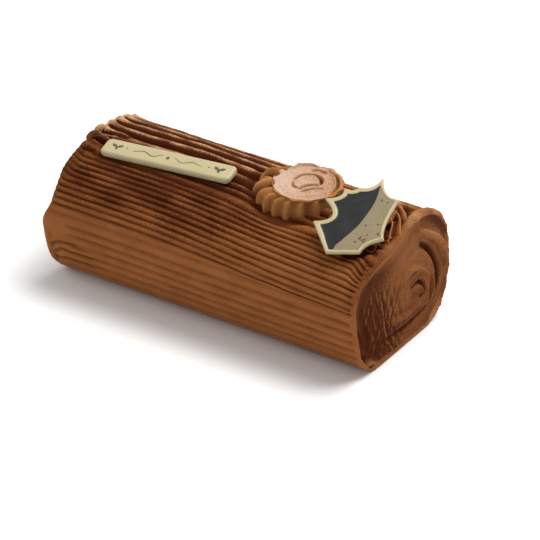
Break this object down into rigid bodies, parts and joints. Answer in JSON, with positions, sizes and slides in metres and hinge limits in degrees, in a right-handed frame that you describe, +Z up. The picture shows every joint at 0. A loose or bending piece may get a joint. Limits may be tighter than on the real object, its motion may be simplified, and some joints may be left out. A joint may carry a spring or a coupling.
{
  "type": "yule log cake",
  "caption": "Chocolate yule log: a roll cake coated in combed buttercream, topped with piped rosettes, a white chocolate plaque and a holly leaf.",
  "frame": {"origin": "middle of the flat underside, halfway between the two end planes and between front and back", "axes": "+X runs along the log towards the end nearest the leaf, -Y is the front with the plaque's lower edge, +Z is up"},
  "size_m": [0.2298, 0.11, 0.1034],
  "materials": {
    "buttercream": "chocolate buttercream, soft satin, combed into ridges",
    "dusted_buttercream": "piped chocolate buttercream dusted with icing sugar and cocoa",
    "white_chocolate": "moulded white chocolate, satin",
    "printed_chocolate": "white chocolate with a dark and a speckled half, satin"
  },
  "bodies": {
    "root": {"log_body": "buttercream", "left_rosette": "dusted_buttercream", "right_rosette": "buttercream", "plaque": "white_chocolate", "holly_leaf": "printed_chocolate"}
  },
  "joints": []
}
